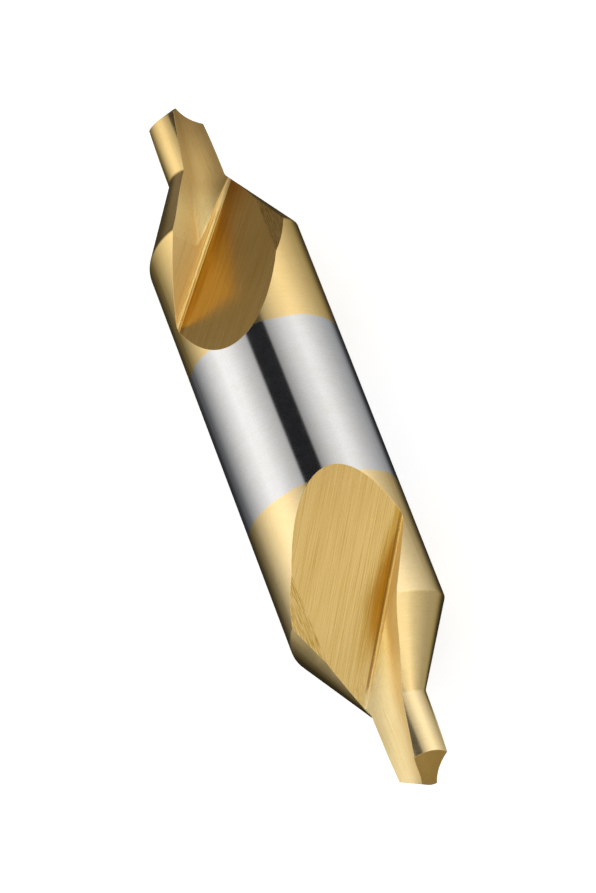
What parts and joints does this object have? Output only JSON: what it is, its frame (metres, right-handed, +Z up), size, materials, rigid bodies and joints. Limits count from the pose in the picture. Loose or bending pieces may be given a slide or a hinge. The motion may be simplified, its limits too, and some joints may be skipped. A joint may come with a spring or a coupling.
{
  "type": "centre drill",
  "caption": "Double-ended centre drill with a short round shank, fluted 60 degree countersink cones and slim pilot tips, gold coated at both ends, for drilling centre holes.",
  "frame": {"origin": "on the surface that the tool lies on, under the middle of its shank", "axes": "+X along the tool's axis towards one tip, +Z up, the two ends match when turned half a turn about Z"},
  "size_m": [0.063, 0.0124, 0.0125],
  "materials": {
    "tool_steel": "ground high-speed steel, bare around the middle of the shank, with a satin gold titanium nitride coat from 7.2 mm either side of the middle to both tips"
  },
  "bodies": {
    "root": {"centre_drill": "tool_steel"}
  },
  "joints": []
}
